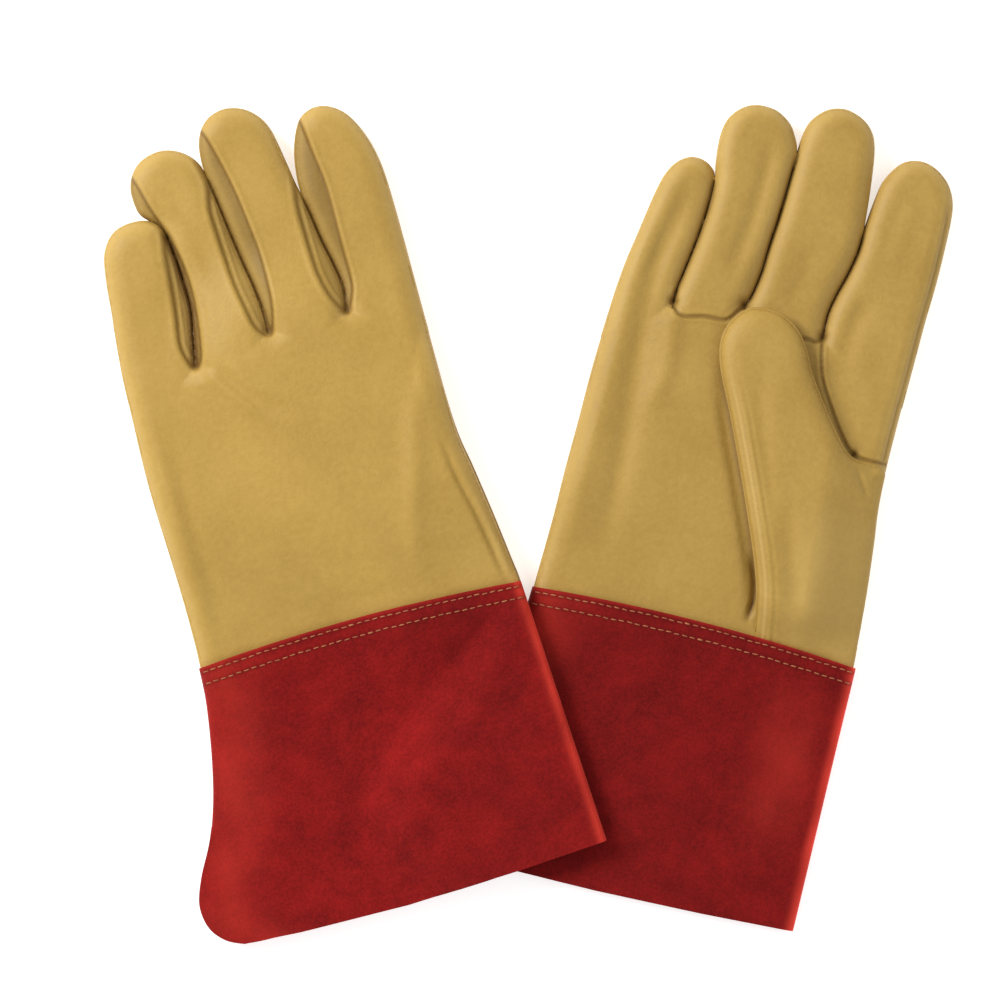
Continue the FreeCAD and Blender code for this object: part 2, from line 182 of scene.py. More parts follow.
# ---- soft folds of the faces that show: line, width, and height (below 0 for a valley)
THUMB_GAP = [(14.5, 37), (19, 27), (20.9, 18.6), (20.9, 13), (19.6, 5.5)]   # slit beside the thumb
FOLDS = {
    "left": [
        ([(-34, 119), (-30, 112), (-22, 101), (-14, 90)], 2.4, 0.9),
        ([(-30, 122), (-24, 109), (-13, 97), (0, 88)], 3.4, -1),
        ([(-14, 120), (-8, 112), (0, 104)], 4, 0.5),
        ([(-30, 196), (-26, 182), (-22, 168), (-20, 150)], 4, -0.5),
        ([(52, 96), (46.4, 82.6), (39, 55), (31.3, 27), (31, 2)], 4.5, 1),
        ([(40, 96), (36, 74), (28, 44)], 7, -0.5),
        ([(52, 70), (54.5, 50), (59.5, 26), (64, -4)], 1.5, -1.3),
        ([(-60, 112), (-60.5, 60), (-60, 10), (-60, -6)], 3.2, 0.5),
        ([(-53, 100), (-54, 60), (-52, 8)], 3.2, -0.45),
        ([(-40, 16), (-10, 9), (30, 12)], 6, -0.4),
    ],
    "right": [
        ([(-56, 126), (-58, 90), (-58.5, 50), (-57, 4)], 4.6, 0.9),
        ([(-43, 182), (-45.5, 168), (-50.5, 146), (-51, 124), (-48, 90), (-45, 50), (-44, 4)], 5, -1.7),
        ([(-43, 184), (-46, 168), (-51, 144), (-52, 128)], 4.4, -0.9),
        ([(-42, 138), (-39, 118), (-37, 98), (-41, 76)], 4, 1.1),
        ([(-18, 207), (-17, 184), (-18.5, 160), (-23, 137)], 4.2, -1.6),
        ([(8, 166), (8, 148), (4, 134)], 4, -0.5),
        ([(45, 196), (43, 176), (40, 156)], 4, 0.6),
        ([(38, 150), (33, 134), (31, 118)], 4.4, -1.2),
        ([(4, 92), (12, 66), (20, 34), (26, 6)], 4.5, -0.8),
        ([(26, 122), (35, 106), (46, 90)], 4.6, -0.9),
        ([(34, 128), (44, 112), (52, 96)], 5, 0.8),
        ([(-19, 112), (-10, 88), (4, 57), (17, 26), (23, 2)], 2.6, -1.5),
        (THUMB_GAP, 1.5, -2.2),
    ],
}
THUMB_FOLDS = [
    ([(22, 64), (28, 46), (34.5, 28), (39, 10)], 4, -1.1),
    ([(47, 80), (50, 76), (56, 68)], 1.3, -1),
    ([(8, 112), (12, 90), (22, 62)], 6, 0.5),
    ([(0, 118), (3, 96), (14, 66), (22, 40)], 3, -0.5),
]
RIPPLES = {"left": (3, 60, 0.3), "right": (8, 55, 0.35)}     # seed, wave length, height

# ---- thumb: plan of the whole thumb leather, up the free side, round the tip and back to the hand's edge
THUMB_OUTLINE = [(26.5, -3), (20.5, 24), (8, 55), (-5.5, 85), (-16.3, 108), (-17.2, 121),
                 (-10.5, 130.6), (0.5, 132.2), (9.5, 128), (15.4, 121), (20.1, 112), (27, 102.2),
                 (33.8, 93.2), (40.1, 86), (45.3, 82.4), (52, 82.2), (58, 82.6)]
THUMB_PIT = (45.6, 84.6)   # deepest point of the palm, at the thumb's crotch
THUMB_THICK = {"left": 7, "right": 10.6}
THUMB_ROLL = 9.0
HEEL_REACH = 26.0          # from the hand's edge to where the thumb lies on top of the palm
CREASE_BEND = 16.0         # width of the leather that bends when the thumb swings

# ---- cuff
CUFF_LEN = 113.5
CUFF_HALF = 68.6
CUFF_BOW = 3.0             # rise of the cuff's top edge at its middle
CUFF_FLARE = [(0, 67.9), (14, 68.8), (35, 72.3), (54, 76.8), (69, 82.3), (82, 89.2), (92, 93), (99.5, 93),
              (105.5, 90.8), (110.5, 86), (113.5, 79.5)]   # little-finger side: depth, distance out
CUFF_MOUTH = {"left": 74.4, "right": 70.4}
CUFF_MOUTH_SHARES = (0, 0.15, 0.45, 0.75, 1)
CUFF_MOUTH_LENGTHS = {"left": (113.5, 114.9, 115.8, 113.6, 111.2),
                      "right": (113.8, 114.6, 114.2, 112.6, 110.5)}
CUFF_FOLD_BEND = 20.0
CUFF_GAP = 4.3             # half the lying cuff's thickness
CROSSING_GAP = 1.2         # between the two cuffs where they cross
CROSSING_SLOPE = 24        # how far off the lower cuff the upper glove starts to rise
THUMB_SLOPE = 34           # and how far off its own thumb
VENT = 64.0
STITCH_ROWS = {"upper": 2.2, "lower": 7.0}
STITCH_LEN = 2.6
THREAD_RADIUS = 0.27
STITCH_STEP = 3.3


# ---- numbers on a plan

def smooth(t):
    """0 up to t = 0, 1 from t = 1, with a soft step between."""
    t = np.clip(t, 0.0, 1.0)
    return t * t * (3 - 2 * t)


def bell(gap, width):
    """1 where the gap is 0, dying out over the width."""
    return np.exp(-(gap / width) ** 2)


def curve(points, closed=False, steps=8):
    """Points along a smooth line through the given ones."""
    p = np.array(points, float)
    count = len(p)
    spans = count if closed else count - 1
    out = []
    for i in range(spans):
        if closed:
            a, b, c, d = (p[(i + k) % count] for k in (-1, 0, 1, 2))
        else:
            a, b, c, d = p[max(i - 1, 0)], p[i], p[i + 1], p[min(i + 2, count - 1)]
        for t in np.arange(steps) / steps:
            out.append(0.5 * (2 * b + (c - a) * t + (2 * a - 5 * b + 4 * c - d) * t ** 2
                              + (3 * b - a - 3 * c + d) * t ** 3))
    if not closed:
        out.append(p[-1])
    return np.array(out)


def line_distance(line, x, y):
    """Distance to a run of straight pieces, and how far along it (0 to 1) the nearest point is."""
    line = np.asarray(line, float)
    best = np.full(np.shape(x), 1e9)
    along = np.zeros(np.shape(x))
    lengths = np.hypot(*np.diff(line, axis=0).T)
    total = lengths.sum()
    done = 0.0
    for (ax, ay), (bx, by), length in zip(line[:-1], line[1:], lengths):
        if length < 1e-9:
            continue
        t = np.clip(((x - ax) * (bx - ax) + (y - ay) * (by - ay)) / length ** 2, 0, 1)
        gap = np.hypot(x - ax - t * (bx - ax), y - ay - t * (by - ay))
        near = gap < best
        best = np.where(near, gap, best)
        along = np.where(near, (done + t * length) / total, along)
        done += length
    return best, along


def inside_distance(outline, x, y):
    """Distance to a closed outline, above 0 inside it."""
    outline = np.asarray(outline, float)
    ring = np.vstack([outline, outline[:1]])
    gap, _ = line_distance(ring, x, y)
    inside = np.zeros(np.shape(x), bool)
    for (ax, ay), (bx, by) in zip(ring[:-1], ring[1:]):
        if ay == by:
            continue
        crosses = (ay > y) != (by > y)
        inside ^= crosses & (x < (bx - ax) * (y - ay) / (by - ay) + ax)
    return np.where(inside, gap, -gap)


def soft_max(a, b, blend):
    """The greater of two fields, with a rounded join."""
    near = np.maximum(blend - np.abs(a - b), 0) / blend
    return np.maximum(a, b) + near ** 2 * blend / 4


def ripple(x, y, seed, wave, height):
    """Gentle waves with no direction of their own."""
    rng = np.random.default_rng(seed)
    total = np.zeros(np.shape(x))
    for _ in range(7):
        turn = rng.uniform(0, math.tau)
        size = wave * rng.uniform(0.7, 1.5)
        phase = rng.uniform(0, math.tau)
        total = total + np.sin((x * math.cos(turn) + y * math.sin(turn)) * math.tau / size + phase)
    return total * height / 3.0


def fold(x, y, points, width, height):
    """A soft ridge (or valley, with height < 0) along a smooth line, dying out at both ends."""
    gap, along = line_distance(curve(points), x, y)
    ends = smooth(along / 0.3) * smooth((1 - along) / 0.3)
    return height * ends * bell(gap, width)


def folded(folds, x, y):
    """Heights of several folds together."""
    return sum(fold(x, y, *one) for one in folds)


def seam_relief(gap):
    """Height across a turned seam: a sharp valley between two rolled lips."""
    lips = 0.42 * bell(np.abs(gap) - 1.5, 0.8)
    return lips - 0.85 * bell(gap, 0.62)


# ---- places, from the frame's joints

class Glove:
    """Where one glove's wrist, fingers and thumb crease are, in its own plan and in the world."""

    def __init__(self, side):
        self.side = side
        self.palm_up = side == "right"
        self.hand = f"{side}_hand"
        hinge = JOINTS[f"{side}_cuff_fold"]
        across = np.array(hinge["axis"][:2]) * (1 if self.palm_up else -1)
        self.across = across / np.linalg.norm(across)
        self.up = np.array([-self.across[1], self.across[0]])
        self.origin = np.array(hinge["pos_m"][:2]) / MM + CUFF_BAND * self.up
        self.fingers = {name: self.finger(name) for name in FINGER_NAMES}
        crease = JOINTS[f"{side}_thumb_swing"]
        self.crease = self.to_plan(np.array(crease["pos_m"][:2]) / MM)
        turn = self.turn_to_plan(np.array(crease["axis"][:2]))
        self.crease_along = turn * np.sign(turn[1])

    def to_plan(self, world):
        rel = world - self.origin
        return np.array([rel @ self.across, rel @ self.up])

    def turn_to_plan(self, world):
        turned = np.array([world @ self.across, world @ self.up])
        return turned / np.linalg.norm(turned)

    def to_world(self, x, y):
        return (self.origin[0] + x * self.across[0] + y * self.up[0],
                self.origin[1] + x * self.across[1] + y * self.up[1])

    def world_point(self, place, z):
        """A plan place at a height in metres, as a point in the world."""
        wx, wy = self.to_world(*place)
        return Vector((wx * MM, wy * MM, z))

    def from_world(self, x, y):
        rx, ry = x - self.origin[0], y - self.origin[1]
        return rx * self.across[0] + ry * self.across[1], rx * self.up[0] + ry * self.up[1]

    def finger(self, name):
        """Root and direction of a finger's fold."""
        joint = JOINTS[f"{self.side}_{name}_flex"]
        ax, ay = joint["axis"][:2]
        along = np.array([-ay, ax]) * (1 if self.palm_up else -1)
        return {"root": self.to_plan(np.array(joint["pos_m"][:2]) / MM), "along": self.turn_to_plan(along),
                "joint": joint}


def past_root(finger, x, y):
    """How far beyond its fold line a finger's plan point is."""
    return (x - finger["root"][0]) * finger["along"][0] + (y - finger["root"][1]) * finger["along"][1]


def finger_outline(side, name):
    """Plan of a finger: up the slot on its little-finger side, round the tip, and back."""
    number = FINGER_NAMES.index(name)
    before = SLOTS[side][number - 1] if number else []
    after = SLOTS[side][number][::-1] if number < 3 else []
    backs = [(x, y - BACK_REACH) for x, y in after[-1:] + before[:1]]
    if name == "little":
        backs.append(LITTLE_BACK)
    if name == "index":
        backs.insert(0, INDEX_BACK)
    return np.vstack([curve(before + TIPS[side][name] + after), backs])


def hand_outline(side):
    """Plan of the hand without its fingers, up to the crotches between them."""
    peaks = ROOT_PEAKS[side]
    top = peaks[:1]
    for slot, peak in zip(SLOTS[side][::-1], peaks[1:]):
        top = top + [slot[0], peak]
    return np.vstack([curve(HAND_SIDES[side]["thumb"]), top, curve(HAND_SIDES[side]["little"])])


# ---- the plan grid and the skin of a field

class Plan:
    """A square grid over part of a glove's plan."""

    def __init__(self, low, high, step=STEP):
        self.low, self.step = np.array(low, float), step
        axes = [np.arange(a, b, step) for a, b in zip(low, high)]
        self.x, self.y = np.meshgrid(*axes, indexing="ij")

    def window(self, low, high):
        """The part of the grid between two corners, and the slices that cut a field to it."""
        i = [int(round((low[k] - self.low[k]) / self.step)) for k in (0, 1)]
        j = [int(round((high[k] - self.low[k]) / self.step)) for k in (0, 1)]
        cut = tuple(slice(max(a, 0), min(b, n)) for a, b, n in zip(i, j, self.x.shape))
        part = Plan.__new__(Plan)
        part.low = self.low + np.array([cut[0].start, cut[1].start]) * self.step
        part.step, part.x, part.y = self.step, self.x[cut], self.y[cut]
        return part, cut

    def at(self, field, x, y):
        """A field's value between the grid's points."""
        i = np.clip((x - self.low[0]) / self.step, 0, field.shape[0] - 1.001)
        j = np.clip((y - self.low[1]) / self.step, 0, field.shape[1] - 1.001)
        i0, j0 = i.astype(int), j.astype(int)
        fi, fj = i - i0, j - j0
        return (field[i0, j0] * (1 - fi) * (1 - fj) + field[i0 + 1, j0] * fi * (1 - fj)
                + field[i0, j0 + 1] * (1 - fi) * fj + field[i0 + 1, j0 + 1] * fi * fj)


def skin(plan, inside, roll, low, high, upper_relief, under_relief):
    """Points and quads of a pillow's surface: flat from roll inwards, round at its edge."""
    middle, half = (low + high) / 2, (high - low) / 2
    bottom = low.min() - 4 * plan.step
    levels = np.arange(bottom, high.max() + 3 + 4 * plan.step, plan.step)
    edge = np.maximum(0, 1 - inside / roll)[..., None]
    rise = (levels - middle[..., None]) / half[..., None]
    relief = np.where(rise > 0, upper_relief[..., None], under_relief[..., None]) / half[..., None]
    field = np.hypot(edge, rise - relief * smooth(np.abs(rise) * 1.6)) - 1
    grid = vdb.FloatGrid()
    grid.copyFromArray(np.ascontiguousarray(field * 8, dtype=np.float32))
    points, quads = grid.convertToQuads(isovalue=0.0)
    points = points.astype(float) * plan.step + np.array([*plan.low, bottom])
    return points, outward(points, quads.astype(np.int64))


def outward(points, quads):
    """The quads, turned so that their normals point out of the closed skin."""
    a, b, c = (points[quads[:, k]] for k in (0, 1, 2))
    volume = np.einsum("ij,ij->i", a, np.cross(b, c)).sum()
    return quads[:, ::-1] if volume < 0 else quads


def relaxed(points, quads, rounds=2, share=0.5):
    """The points, each moved some way to the middle of its neighbours."""
    edges = np.vstack([quads[:, [k, (k + 1) % 4]] for k in range(4)])
    for _ in range(rounds):
        total = np.zeros_like(points)
        count = np.zeros(len(points))
        for k in (0, 1):
            np.add.at(total, edges[:, k], points[edges[:, 1 - k]])
            np.add.at(count, edges[:, k], 1)
        points = points + share * (total / count[:, None] - points)
    return points


# ---- pieces

def new_piece(name, glove, points, faces, material, extras=None):
    """A smooth-shaded mesh from plan millimetres, with its texture place kept as an attribute."""
    used, index = np.unique(faces, return_inverse=True)
    faces = index.reshape(faces.shape)
    points = points[used]
    wx, wy = glove.to_world(points[:, 0], points[:, 1])
    world = np.column_stack([wx, wy, points[:, 2]]) * MM
    mesh = bpy.data.meshes.new(name)
    mesh.vertices.add(len(world))
    mesh.vertices.foreach_set("co", world.astype(np.float32).ravel())
    mesh.loops.add(faces.size)
    mesh.loops.foreach_set("vertex_index", faces.astype(np.int32).ravel())
    mesh.polygons.add(len(faces))
    mesh.polygons.foreach_set("loop_start", np.arange(0, faces.size, faces.shape[1], dtype=np.int32))
    mesh.update(calc_edges=True)
    mesh.validate()
    mesh.shade_smooth()
    rest = mesh.attributes.new("rest", "FLOAT_VECTOR", "POINT")
    rest.data.foreach_set("vector", (points * MM).astype(np.float32).ravel())
    edge_of = np.empty(len(mesh.loops), dtype=np.int32)
    mesh.loops.foreach_get("edge_index", edge_of)
    border = mesh.attributes.new("sharp_edge", "BOOLEAN", "EDGE")
    border.data.foreach_set("value", np.bincount(edge_of, minlength=len(mesh.edges)) == 1)
    for key, values in (extras or {}).items():
        attribute = mesh.attributes.new(key, "FLOAT", "POINT")
        attribute.data.foreach_set("value", values[used].astype(np.float32))
    piece = bpy.data.objects.new(name, mesh)
    bpy.context.scene.collection.objects.link(piece)
    mesh.materials.append(material)
    return piece


def tube_faces(rings, count):
    """Quads between rings that each have the same count of points."""
    start = count * np.arange(rings - 1)[:, None]
    one, two = start + np.arange(count), start + (np.arange(count) + 1) % count
    return np.stack([one, one + count, two + count, two], axis=-1).reshape(-1, 4)


def thicken(piece, leather):
    """Gives a skin the leather's thickness on its inner side."""
    solid = piece.modifiers.new("leather", "SOLIDIFY")
    solid.thickness = leather * MM
    solid.offset = -1
    return piece


# ---- materials

def node(tree, kind, **settings):
    made = tree.nodes.new(kind)
    for key, value in settings.items():
        if key in made.inputs:
            made.inputs[key].default_value = value
        else:
            setattr(made, key, value)
    return made


def put(tree, value, socket):
    """Links an output to a socket, or sets the socket to a plain value."""
    if hasattr(value, "links"):
        tree.links.new(value, socket)
    else:
        socket.default_value = value


def noise_node(tree, place, scale, detail=3.0, roughness=0.55):
    made = node(tree, "ShaderNodeTexNoise", Scale=scale, Detail=detail, Roughness=roughness)
    tree.links.new(place, made.inputs["Vector"])
    return made.outputs["Fac"]


def ramp_node(tree, value, low, high, low_at=0.3, high_at=0.7):
    made = node(tree, "ShaderNodeValToRGB")
    first, last = made.color_ramp.elements
    first.position, first.color = low_at, (*low, 1)
    last.position, last.color = high_at, (*high, 1)
    tree.links.new(value, made.inputs["Fac"])
    return made.outputs["Color"]


def mix_node(tree, factor, a, b, how="MIX"):
    made = node(tree, "ShaderNodeMix", data_type="RGBA", blend_type=how)
    put(tree, factor, made.inputs[0])
    for value, key in ((a, 6), (b, 7)):
        put(tree, (*value, 1) if isinstance(value, tuple) else value, made.inputs[key])
    return made.outputs[2]


def math_node(tree, how, *values):
    made = node(tree, "ShaderNodeMath", operation=how)
    for value, socket in zip(values, made.inputs):
        put(tree, value, socket)
    return made.outputs[0]


def attribute_node(tree, name, output="Fac"):
    return node(tree, "ShaderNodeAttribute", attribute_name=name).outputs[output]


def bump_node(tree, height, strength, distance, below=None):
    made = node(tree, "ShaderNodeBump", Strength=strength, Distance=distance)
    tree.links.new(height, made.inputs["Height"])
    if below is not None:
        tree.links.new(below, made.inputs["Normal"])
    return made.outputs["Normal"]


def new_material(name):
    material = bpy.data.materials.new(name)
    material.use_nodes = True
    tree = material.node_tree
    return material, tree, tree.nodes["Principled BSDF"]


def set_sockets(shader, values):
    for key, value in values.items():
        shader.inputs[key].default_value = value


def leather_material(name, tint=1.0, shift=0.0):
    """Tan grain leather: pebbled grain, cloudy colour, painted shade in the seams, slots and pits and on the
    side strips, and painted highlights along the rims.
    """
    material, tree, shader = new_material(name)
    place = node(tree, "ShaderNodeMapping", Location=(shift, shift * 0.7, shift * 0.3))
    tree.links.new(attribute_node(tree, "rest", "Vector"), place.inputs["Vector"])
    spot = place.outputs["Vector"]
    light = [channel * tint for channel in (0.470, 0.292, 0.062)]
    dark = [channel * tint for channel in (0.415, 0.250, 0.048)]
    colour = ramp_node(tree, noise_node(tree, spot, 34, 4), dark, light, 0.32, 0.66)
    fine = noise_node(tree, spot, 420, 4, 0.7)
    colour = mix_node(tree, 0.10, colour, ramp_node(tree, fine, (0.2, 0.11, 0.02), (0.70, 0.47, 0.12)))
    # painted shade: the side strips between the fingers darker, as where they lie in the fingers' shadow
    colour = mix_node(tree, attribute_node(tree, "strip"), colour, (0.56, 0.53, 0.39), "MULTIPLY")
    # painted highlight: paler where rims and folds catch the light
    colour = mix_node(tree, attribute_node(tree, "painted_highlight"), colour, (0.66, 0.45, 0.155))
    # painted shade: darker in seam grooves, in the slots between the fingers, in the crotch pits and beside
    # the thumb, and a little over the whole welt
    colour = mix_node(tree, attribute_node(tree, "seam"), colour, (0.13, 0.062, 0.014))
    tree.links.new(colour, shader.inputs["Base Color"])
    tree.links.new(math_node(tree, "MULTIPLY_ADD", fine, 0.16, 0.46), shader.inputs["Roughness"])
    shader.inputs["Specular IOR Level"].default_value = 0.3
    cells = node(tree, "ShaderNodeTexVoronoi", feature="SMOOTH_F1", Scale=900)
    tree.links.new(spot, cells.inputs["Vector"])
    creases = bump_node(tree, noise_node(tree, spot, 150, 5, 0.6), 0.25, 0.0008)
    tree.links.new(bump_node(tree, cells.outputs["Distance"], 0.22, 0.0003, creases), shader.inputs["Normal"])
    return material


def suede_material(name, tint):
    """Red split leather: mottled nap, with painted highlights along its folds and edges, and darker along the
    stitch rows.
    """
    material, tree, shader = new_material(name)
    spot = attribute_node(tree, "rest", "Vector")
    dark, light, nap_dark, nap_light = ([channel * tint for channel in colour] for colour in (
        (0.138, 0.0030, 0.0034), (0.292, 0.0078, 0.0070), (0.09, 0.0020, 0.0024), (0.36, 0.013, 0.010)))
    colour = ramp_node(tree, noise_node(tree, spot, 60, 7, 0.68), dark, light, 0.33, 0.69)
    nap = noise_node(tree, spot, 900, 3, 0.7)
    colour = mix_node(tree, 0.30, colour, ramp_node(tree, nap, nap_dark, nap_light, 0.35, 0.65))
    # painted highlight: paler along the folds and edges where they catch the light
    colour = mix_node(tree, attribute_node(tree, "painted_highlight"), colour, (0.84, 0.058, 0.036))
    # darker along the stitch rows and, on the left cuff, in a broad band in from the thumb-side fold
    colour = mix_node(tree, attribute_node(tree, "seam"), colour, (0.06, 0.002, 0.002))
    tree.links.new(colour, shader.inputs["Base Color"])
    set_sockets(shader, {"Roughness": 0.92, "Specular IOR Level": 0.15, "Sheen Weight": 0.10,
                         "Sheen Roughness": 0.35, "Sheen Tint": (1.0, 0.35, 0.3, 1)})
    rough = bump_node(tree, noise_node(tree, spot, 220, 4, 0.6), 0.3, 0.001)
    tree.links.new(bump_node(tree, nap, 0.35, 0.0005, rough), shader.inputs["Normal"])
    return material


def thread_material():
    """Twisted tan thread, a little dirty."""
    material, tree, shader = new_material("stitching")
    spot = attribute_node(tree, "rest", "Vector")
    colour = ramp_node(tree, noise_node(tree, spot, 300, 3), (0.33, 0.085, 0.035), (0.50, 0.19, 0.075))
    tree.links.new(colour, shader.inputs["Base Color"])
    shader.inputs["Roughness"].default_value = 0.8
    twist = node(tree, "ShaderNodeTexWave", Scale=700)
    tree.links.new(spot, twist.inputs["Vector"])
    tree.links.new(bump_node(tree, twist.outputs["Fac"], 0.5, 0.0002), shader.inputs["Normal"])
    return material


LEATHER = leather_material("tan_leather")
# painted shade: a darker copy of the tan leather for the faces on the palm side
LEATHER_PALM = leather_material("tan_leather_palm_shaded", 0.93, 0.37)
LEATHER_THUMB = leather_material("tan_leather_thumb", 0.95, 0.81)
# painted shade: the right cuff's copy of the split leather is darker
SUEDE = {"left": suede_material("red_split_leather", 1.0),
         "right": suede_material("red_split_leather_shaded", 0.8)}
THREAD = thread_material()


# ---- cuff plan, shared by the cuffs and by what lies on them

def cuff_sides(side, depth):
    """The cuff's little-finger side and thumb side at a distance from the wrist."""
    depth = np.clip(depth, 0, CUFF_LEN)
    flare = curve(CUFF_FLARE)
    thumb = CUFF_HALF + (CUFF_MOUTH[side] - CUFF_HALF) * depth / CUFF_LEN
    return -np.interp(depth, flare[:, 0], flare[:, 1]), thumb


def cuff_outline(side):
    """Plan of a cuff, round all its edges."""
    depth = np.linspace(0, CUFF_LEN, 60)
    little, thumb = cuff_sides(side, depth)
    return np.vstack([np.column_stack([thumb, -depth]), np.column_stack([little, -depth])[::-1]])


GLOVES = {side: Glove(side) for side in SIDES}


def thumb_inside(x, y, edge):
    """Distance inside the whole thumb leather's plan, whose hand side follows the hand's edge."""
    outline = np.vstack([curve(THUMB_OUTLINE), edge])
    return inside_distance(outline, x, y)


def thumb_edge(side):
    """The hand's edge from the thumb's crotch down to the wrist, a little proud of it."""
    edge = curve(HAND_SIDES[side]["thumb"])
    edge = edge[(edge[:, 1] < 82) & (edge[:, 1] > -4)][::-1]
    return edge + np.column_stack([0.6 * smooth((80 - edge[:, 1]) / 30), np.zeros(len(edge))])


def lying_level(side, x, y):
    """Height of what a glove's underside lies on: the table, or for the left glove also the right
    cuff and the glove's own thumb."""
    level = np.full(np.shape(x), TABLE_GAP)
    if side == "right":
        return level
    wx, wy = GLOVES["left"].to_world(x, y)
    rx, ry = GLOVES["right"].from_world(wx, wy)
    over_cuff = inside_distance(cuff_outline("right"), rx, ry)
    crossing = smooth((over_cuff + CROSSING_SLOPE) / (CROSSING_SLOPE + 1))
    level = level + (2 * CUFF_GAP + CROSSING_GAP) * crossing
    over_thumb = thumb_inside(x, y, thumb_edge("left"))
    on_thumb = TABLE_GAP + (THUMB_THICK["left"] + 0.2) * smooth((over_thumb + THUMB_SLOPE) / THUMB_SLOPE)
    return soft_max(level, on_thumb, 2.0)


# ---- hand

def hand_folds(side, x, y):
    """Heights of the soft folds of the face that shows."""
    return folded(FOLDS[side], x, y) + ripple(x, y, *RIPPLES[side])


def palm_seams(side):
    """Seams across the palm: the ring's base, the middle's base and the index front's root."""
    one, two, three = (np.array(slot[0]) for slot in SLOTS[side])
    return [
        [one + (0, 5), one + (0.2, 0), one + (2, -3), one + (6, -4.5), (one + two) / 2 + (0, -5.4),
         two + (-6, -7.5), two + (-2, -3), two],
        [two, two + (4, -5), (two + three) / 2 + (0, -5.5), three + (-6, -2.2), three + (-2.5, -2.4),
         three + (0, -0.4), three + (0.1, 3)],
        [three, (25, 113), (33, 99), (41, 88), (45.8, 84.2), (52, 83.4), (59.5, 83.8)],
    ]


def leaf_relief(side, x, y, fingers):
    """Height, painted shade along the seams and painted shade on the side strips, round the leaf-shaped
    openings of a glove's back.
    """
    height, dark, strip = (np.zeros_like(x) for _ in range(3))
    for number, leaf in enumerate(LEAVES[side]):
        inside = inside_distance(curve(leaf, closed=True), x, y)
        near, far = fingers[FINGER_NAMES[number]], fingers[FINGER_NAMES[number + 1]]
        little_side = smooth((near - far) / 2 + 0.5)
        height += 0.40 * bell(inside + 1.3, 0.9) - 0.95 * smooth((inside + 0.3) / 1.2)
        height += little_side * (0.42 * bell(inside - 2.7, 0.55)
                                 - 0.35 * bell(inside - 1.4, 0.5))
        # painted shade in the seam's groove round the opening
        dark = np.maximum(dark, (0.75 - 0.4 * little_side) * bell(inside - 0.45, 0.55))
        # painted shade on the side strip that lies in the opening
        strip = np.maximum(strip, smooth(inside / 0.7) * (1 - 0.5 * little_side))
    return height, dark, strip


def hand_fields(glove):
    """All that a hand's skin is made from, on one grid: plan distances, levels, seams, folds and painted
    shade.
    """
    side = glove.side
    plan = Plan(PLAN_LOW, PLAN_HIGH)
    x, y = plan.x, plan.y
    body = inside_distance(hand_outline(side), x, y)
    fingers = {name: inside_distance(finger_outline(side, name), x, y) + SIDE_OVERLAP
               for name in FINGER_NAMES}
    thick = WRIST_THICK + (HAND_THICK - WRIST_THICK) * smooth((y + 4) / 62)
    thick = thick + (FINGER_THICK - HAND_THICK) * smooth((y - 112) / 30)
    thick = thick + (TIP_THICK - FINGER_THICK) * smooth((y - 165) / 40)
    low = lying_level(side, x, y)
    rise = np.zeros_like(x)
    closest = np.full_like(x, -30.0)
    for name, inside in fingers.items():
        past = past_root(glove.fingers[name], x, y)
        rise = np.where(inside > closest, FINGER_RISE[side][name] * smooth(past / 34), rise)
        closest = np.maximum(closest, inside)
    high = low + thick + np.maximum(rise, -0.5)
    low = low + np.maximum(rise, 0) * 0.8
    sewn, dark, strip = leaf_relief(side, x, y, fingers)
    palm_height, palm_dark = np.zeros_like(x), np.zeros_like(x)
    for line in palm_seams(side):
        gap, _ = line_distance(curve(line), x, y)
        palm_height += seam_relief(gap)
        # painted shade in the palm seams' grooves
        palm_dark = np.maximum(palm_dark, 0.75 * bell(gap, 0.6))
    outer = np.maximum(body, fingers["index"]) - 2.4
    outer_band = smooth((y - 83) / 3) * smooth((196 - y) / 12) * (x > 45)
    palm_height += 0.7 * outer_band * seam_relief(outer)
    # painted shade in the groove of the index's outer seam
    palm_dark = np.maximum(palm_dark, 0.3 * outer_band * bell(outer, 0.6))
    pits = np.zeros_like(x)
    for slot in SLOTS[side]:
        pits = np.maximum(pits, bell(np.hypot(x - slot[0][0], y - slot[0][1] - 0.6), 1.9))
        gap, along = line_distance(curve(slot), x, y)
        # painted shade in the slots between the fingers, where one finger shades the next
        slot_dark = 0.8 * bell(gap, 1.0) * smooth((1.02 - along) / 0.1)
        if slot is SLOTS["left"][0]:
            slot_dark = 0.95 * bell(gap - 0.4, 1.4) * smooth((1.02 - along) / 0.1)
        dark, palm_dark = np.maximum(dark, slot_dark), np.maximum(palm_dark, slot_dark)
    # the back's painted shade also darkens the crotch pits
    back = {"height": sewn - 1.9 * pits, "dark": np.maximum(dark, 0.9 * pits), "strip": strip}
    gap, along = line_distance(curve(THUMB_GAP), x, y)
    # painted shade in the slit beside the thumb
    slit = 0.95 * bell(gap, 0.8) * smooth(along / 0.3) * smooth((1 - along) / 0.2)
    palm_dark = np.maximum(palm_dark, slit)
    # painted shadow on the palm along the thumb's free edge
    gap, along = line_distance(curve(THUMB_OUTLINE[1:6]) - np.array([0.3, 0.0]), x, y)
    palm_dark = np.maximum(palm_dark, 0.6 * bell(gap, 1.9) * smooth((1 - along) / 0.3))
    pits = np.maximum(pits, bell(np.hypot(x - THUMB_PIT[0], y - THUMB_PIT[1]), 1.7))
    # the palm's painted shade also darkens the crotch pits and the pit at the thumb's crotch
    palm = {"height": palm_height - 1.8 * pits, "dark": np.maximum(palm_dark, 0.9 * pits), "strip": 0 * strip}
    upper, under = (palm, back) if glove.palm_up else (back, palm)
    upper["height"] = upper["height"] + hand_folds(side, x, y)
    return plan, {"body": body, "fingers": fingers, "low": low, "high": high, "upper": upper, "under": under}


